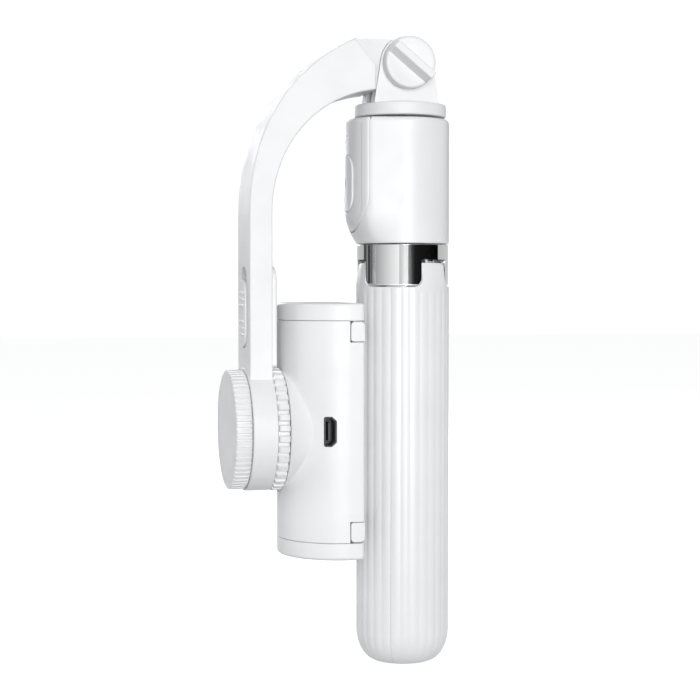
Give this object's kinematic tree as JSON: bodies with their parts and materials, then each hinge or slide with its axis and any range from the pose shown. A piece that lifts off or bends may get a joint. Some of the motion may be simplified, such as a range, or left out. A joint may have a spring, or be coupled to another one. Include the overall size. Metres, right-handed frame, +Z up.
{
  "type": "phone gimbal stabilizer",
  "caption": "Folded one-axis phone gimbal: spring clamp on a motor arm, swivel head with remote, telescopic pole and tripod handle.",
  "frame": {"origin": "on the handle's axis, at the flat lower end of the closed tripod legs", "axes": "+Z up along the pole, -X from the handle towards the folded arm, motor axis along X, fold axis along Y"},
  "size_m": [0.0673, 0.0364, 0.1853],
  "materials": {
    "white_shell": "satin white moulded ABS, very fine grain",
    "leg_shell": "satin white moulded ABS with shallow upright flutes",
    "arm_white": "matte white moulded ABS with fine spark-eroded grain",
    "wheel_shell": "matte white moulded ABS, knurled rim",
    "chrome_collar": "bright chrome plating",
    "pole_steel": "polished stainless tube",
    "steel_parts": "plain zinc or stainless",
    "black_parts": "black",
    "circuit_board": "green solder mask",
    "cells": "dull foil",
    "copper_coils": "enamelled copper wire",
    "pad_rubber": "matte pale grey rubber",
    "led_lens": "milky clear"
  },
  "bodies": {
    "hub": {"hub_collar": "chrome_collar", "pole_tube_outer": "pole_steel", "leg_pin_a": "steel_parts", "leg_pin_b": "steel_parts", "leg_pin_c": "steel_parts"},
    "leg_a": {"leg_a": "leg_shell"},
    "leg_b": {"leg_b": "leg_shell"},
    "leg_c": {"leg_c": "leg_shell"},
    "pole_1": {"pole_tube_1": "pole_steel"},
    "pole_2": {"pole_tube_2": "pole_steel"},
    "pole_3": {"pole_tube_3": "pole_steel"},
    "pole_4": {"pole_tube_4": "pole_steel"},
    "pole_5": {"pole_tube_5": "pole_steel"},
    "head": {"pole_tube_6": "pole_steel", "head_housing": "white_shell", "remote_panel": "white_shell", "led_window": "led_lens", "pole_socket": "black_parts", "remote_board": "circuit_board", "remote_battery": "cells"},
    "button": {"shutter_button": "white_shell"},
    "swivel": {"swivel_fork": "arm_white", "swivel_screw": "steel_parts", "swivel_nut": "steel_parts", "swivel_washer": "steel_parts", "swivel_spring_washer": "steel_parts", "bolt_cap": "arm_white"},
    "knob": {"lock_knob": "arm_white", "fold_bolt": "steel_parts"},
    "arm": {"arm_shell": "arm_white", "arm_cover": "arm_white", "switch_board": "circuit_board", "motor_stator": "copper_coils", "bearing_outer": "steel_parts", "bearing_inner": "steel_parts"},
    "switch": {"power_switch": "arm_white"},
    "clamp": {"outer_wheel": "wheel_shell", "motor_shaft": "steel_parts", "motor_bell": "steel_parts", "motor_magnets": "black_parts", "inner_ring": "wheel_shell", "clamp_body": "white_shell", "face_plate": "white_shell", "phone_pad_left": "pad_rubber", "phone_pad_right": "pad_rubber", "usb_socket": "black_parts", "main_board": "circuit_board", "main_battery": "cells", "jaw_spring_upper": "steel_parts", "jaw_spring_lower": "steel_parts"},
    "jaw_upper": {"jaw_upper": "white_shell"},
    "jaw_lower": {"jaw_lower": "white_shell"},
    "claw_upper": {"claw_upper": "white_shell"},
    "claw_lower": {"claw_lower": "white_shell"}
  },
  "joints": [
    {"name": "leg_a_hinge", "type": "hinge", "parent": "hub", "child": "leg_a", "pos_m": [0.0057, -0.00987, 0.1168], "axis": [-0.866, -0.5, 0], "range_deg": [0, 70]},
    {"name": "leg_b_hinge", "type": "hinge", "parent": "hub", "child": "leg_b", "pos_m": [0.0057, 0.00987, 0.1168], "axis": [0.866, -0.5, 0], "range_deg": [0, 70]},
    {"name": "leg_c_hinge", "type": "hinge", "parent": "hub", "child": "leg_c", "pos_m": [-0.0114, 0, 0.1168], "axis": [0, 1, 0], "range_deg": [0, 70]},
    {"name": "pole_slide_1", "type": "slide", "parent": "hub", "child": "pole_1", "axis": [0, 0, 1], "range_m": [0, 0.097]},
    {"name": "pole_slide_2", "type": "slide", "parent": "pole_1", "child": "pole_2", "axis": [0, 0, 1], "range_m": [0, 0.097]},
    {"name": "pole_slide_3", "type": "slide", "parent": "pole_2", "child": "pole_3", "axis": [0, 0, 1], "range_m": [0, 0.097]},
    {"name": "pole_slide_4", "type": "slide", "parent": "pole_3", "child": "pole_4", "axis": [0, 0, 1], "range_m": [0, 0.097]},
    {"name": "pole_slide_5", "type": "slide", "parent": "pole_4", "child": "pole_5", "axis": [0, 0, 1], "range_m": [0, 0.097]},
    {"name": "pole_slide_6", "type": "slide", "parent": "pole_5", "child": "head", "axis": [0, 0, 1], "range_m": [0, 0.097]},
    {"name": "button_press", "type": "slide", "parent": "head", "child": "button", "axis": [1, 0, 0], "range_m": [0, 0.0006], "stiffness_N_per_m": 400, "springref_m": -0.002},
    {"name": "head_swivel", "type": "hinge", "parent": "head", "child": "swivel", "pos_m": [-0.0008, 0, 0.162], "axis": [0, 0, 1], "continuous": true},
    {"name": "arm_fold", "type": "hinge", "parent": "swivel", "child": "arm", "pos_m": [-0.0009, 0, 0.1773], "axis": [0, 1, 0], "range_deg": [0, 180]},
    {"name": "lock_knob_turn", "type": "hinge", "parent": "swivel", "child": "knob", "pos_m": [-0.0009, -0.0103, 0.1773], "axis": [0, -1, 0], "range_deg": [0, 270]},
    {"name": "power_switch_slide", "type": "slide", "parent": "arm", "child": "switch", "axis": [0, 0, 1], "range_m": [0, 0.0036]},
    {"name": "gimbal_roll", "type": "hinge", "parent": "arm", "child": "clamp", "pos_m": [-0.045, 0, 0.0703], "axis": [1, 0, 0], "range_deg": [-135, 135]},
    {"name": "jaw_upper_slide", "type": "slide", "parent": "clamp", "child": "jaw_upper", "axis": [0, 0, 1], "range_m": [0, 0.016], "stiffness_N_per_m": 150, "springref_m": -0.02, "deforming": ["jaw_spring_upper"]},
    {"name": "jaw_lower_slide", "type": "slide", "parent": "clamp", "child": "jaw_lower", "axis": [0, 0, -1], "range_m": [0, 0.016], "stiffness_N_per_m": 150, "springref_m": -0.02, "deforming": ["jaw_spring_lower"]},
    {"name": "claw_upper_flip", "type": "hinge", "parent": "jaw_upper", "child": "claw_upper", "pos_m": [-0.0183, 0, 0.1], "axis": [0, -1, 0], "range_deg": [0, 90]},
    {"name": "claw_lower_flip", "type": "hinge", "parent": "jaw_lower", "child": "claw_lower", "pos_m": [-0.0183, 0, 0.0406], "axis": [0, 1, 0], "range_deg": [0, 90]}
  ],
  "couplings": [
    {"joint": "leg_c_hinge", "follows": "arm_fold", "ratio": 0.38889},
    {"joint": "jaw_lower_slide", "follows": "jaw_upper_slide", "ratio": 1}
  ]
}
